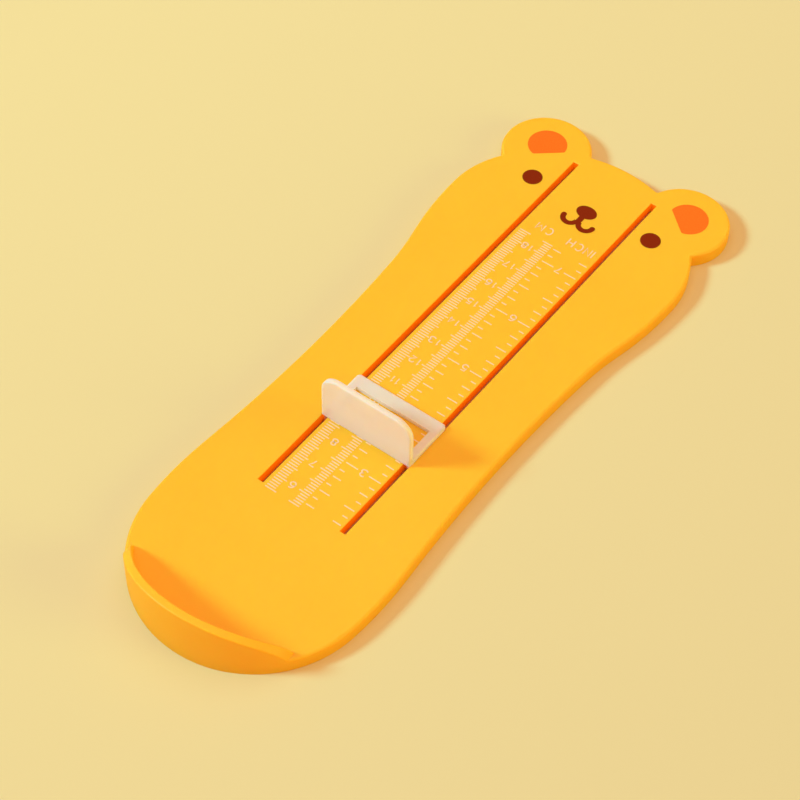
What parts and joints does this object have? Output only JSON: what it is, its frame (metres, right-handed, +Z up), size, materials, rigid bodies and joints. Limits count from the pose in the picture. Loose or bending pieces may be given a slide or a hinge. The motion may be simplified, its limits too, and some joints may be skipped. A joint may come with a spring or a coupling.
{
  "type": "foot measuring gauge",
  "caption": "Children's foot gauge: a bear-outlined board with a raised heel cup, two slots, printed scales and a toe slider.",
  "frame": {"origin": "centre of the whole gauge's box, at the height of the table", "axes": "+X from the heel cup to the ears, +Y to the left side as the foot stands, +Z up"},
  "size_m": [0.238, 0.0858, 0.0233],
  "materials": {
    "board_plastic": "moulded polystyrene, satin gloss, warm yellow",
    "slider_plastic": "moulded polypropylene, milky, satin",
    "orange_ink": "pad-printed ink",
    "brown_ink": "pad-printed ink",
    "pale_ink": "pad-printed ink, thin"
  },
  "bodies": {
    "board": {"base_board": "board_plastic", "left_ear_print": "orange_ink", "right_ear_print": "orange_ink", "left_eye_print": "brown_ink", "right_eye_print": "brown_ink", "muzzle_print": "brown_ink", "cm_scale_print": "pale_ink", "inch_scale_print": "pale_ink"},
    "slider": {"toe_slider": "slider_plastic"}
  },
  "joints": [
    {"name": "slider_run", "type": "slide", "parent": "board", "child": "slider", "axis": [1, 0, 0], "range_m": [-0.0309, 0.1165]}
  ]
}
